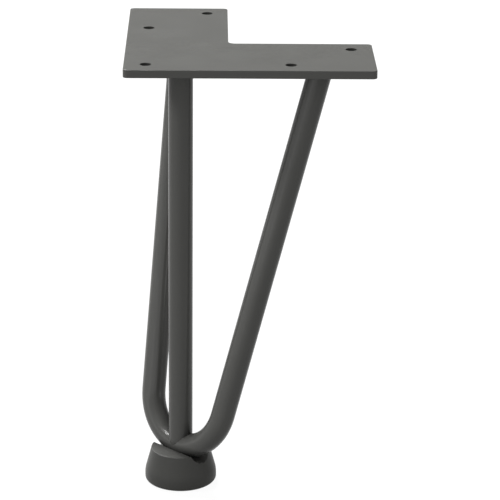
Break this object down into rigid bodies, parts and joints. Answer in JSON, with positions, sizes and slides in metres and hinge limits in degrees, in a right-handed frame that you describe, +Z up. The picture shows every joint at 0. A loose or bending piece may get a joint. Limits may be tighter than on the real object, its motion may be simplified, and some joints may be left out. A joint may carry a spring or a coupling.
{
  "type": "hairpin table leg",
  "caption": "Hairpin table leg: a bent round rod and an upright brace welded under an L-shaped mounting plate, standing on a blunt conical foot with a saddle groove.",
  "frame": {"origin": "middle of the foot's floor face, on the axis of the upright brace", "axes": "+Z up to the table top, +X along the plate's front edge, +Y along the plate's side edge"},
  "size_m": [0.12, 0.12, 0.222],
  "materials": {
    "powder_coat": "fine-textured satin anthracite powder coat",
    "foot_plastic": "matt moulded anthracite"
  },
  "bodies": {
    "root": {"mounting_plate": "powder_coat", "hairpin_rod": "powder_coat", "brace_rod": "powder_coat", "corner_weld": "powder_coat", "front_weld": "powder_coat", "side_weld": "powder_coat", "foot": "foot_plastic"}
  },
  "joints": []
}
